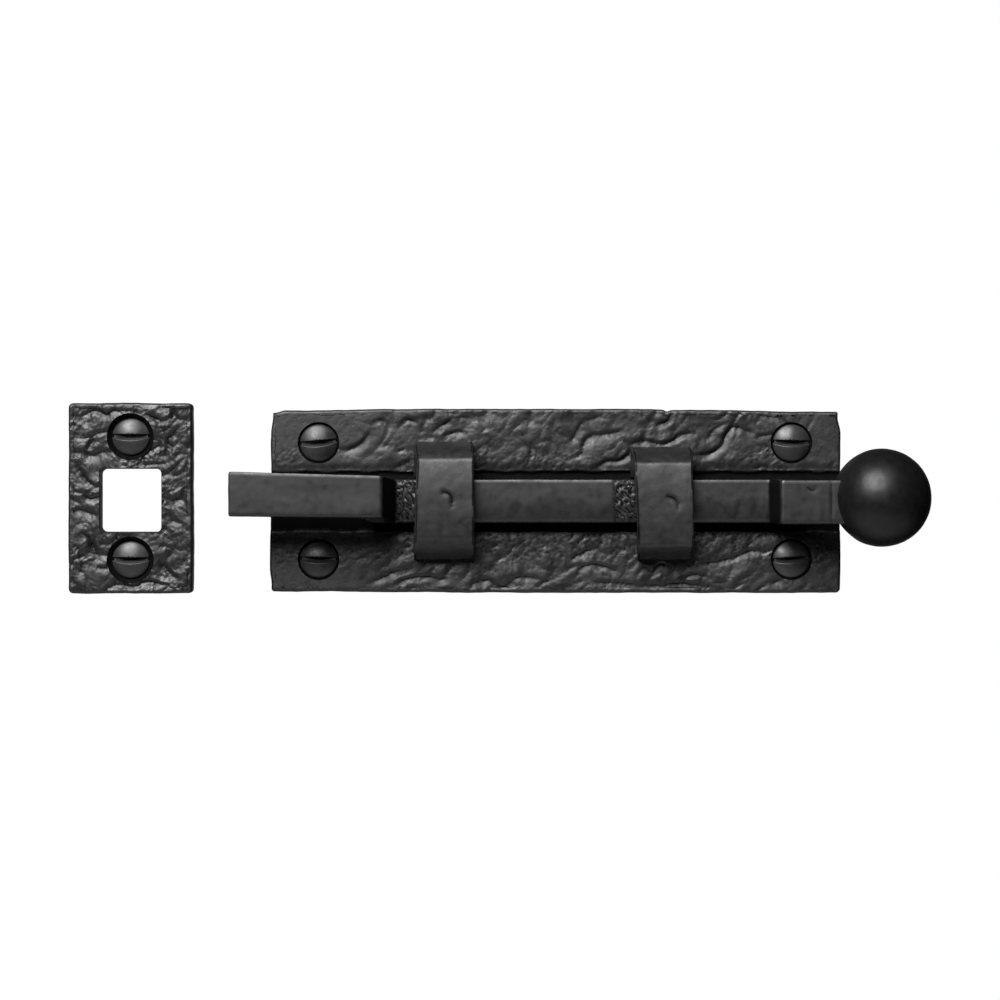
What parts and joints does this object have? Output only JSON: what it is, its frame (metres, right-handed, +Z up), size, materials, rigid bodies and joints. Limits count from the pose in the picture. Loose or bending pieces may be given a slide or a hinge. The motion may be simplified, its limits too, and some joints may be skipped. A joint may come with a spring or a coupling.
{
  "type": "barrel bolt",
  "caption": "Rustic black cast slide bolt: cranked rectangular bar with a ball knob, held by strap staples on a hammered backplate, with a separate flat keep.",
  "frame": {"origin": "centre of the backplate's back face, which lies on the door", "axes": "+X along the bolt towards the knob, +Y square to the door and into it, +Z up across the plate"},
  "size_m": [0.152, 0.0376, 0.0342],
  "materials": {
    "plate_black": "satin black paint over a hammered casting",
    "staple_black": "satin black paint, worn at the corners",
    "bolt_black": "satin black paint rubbed smooth",
    "knob_black": "semi-gloss black paint",
    "keep_black": "satin black paint over a hammered casting",
    "screw_black": "black japanned steel, rubbed on the crown",
    "spring_steel": "oiled spring steel"
  },
  "bodies": {
    "plate": {"backplate": "plate_black", "front_staple": "staple_black", "rear_staple": "staple_black", "plate_screw_1": "screw_black", "plate_screw_2": "screw_black", "plate_screw_3": "screw_black", "plate_screw_4": "screw_black"},
    "bolt": {"bolt_bar": "bolt_black", "ball_knob": "knob_black", "friction_spring": "spring_steel", "spring_rivet": "spring_steel"},
    "keep": {"keep_plate": "keep_black", "keep_screw_1": "screw_black", "keep_screw_2": "screw_black"}
  },
  "joints": [
    {"name": "bolt_slide", "type": "slide", "parent": "plate", "child": "bolt", "axis": [-1, 0, 0], "range_m": [-0.0031, 0.0133]},
    {"name": "keep_position", "type": "slide", "parent": "plate", "child": "keep", "axis": [1, 0, 0], "range_m": [-0.005, 0.0105]}
  ]
}
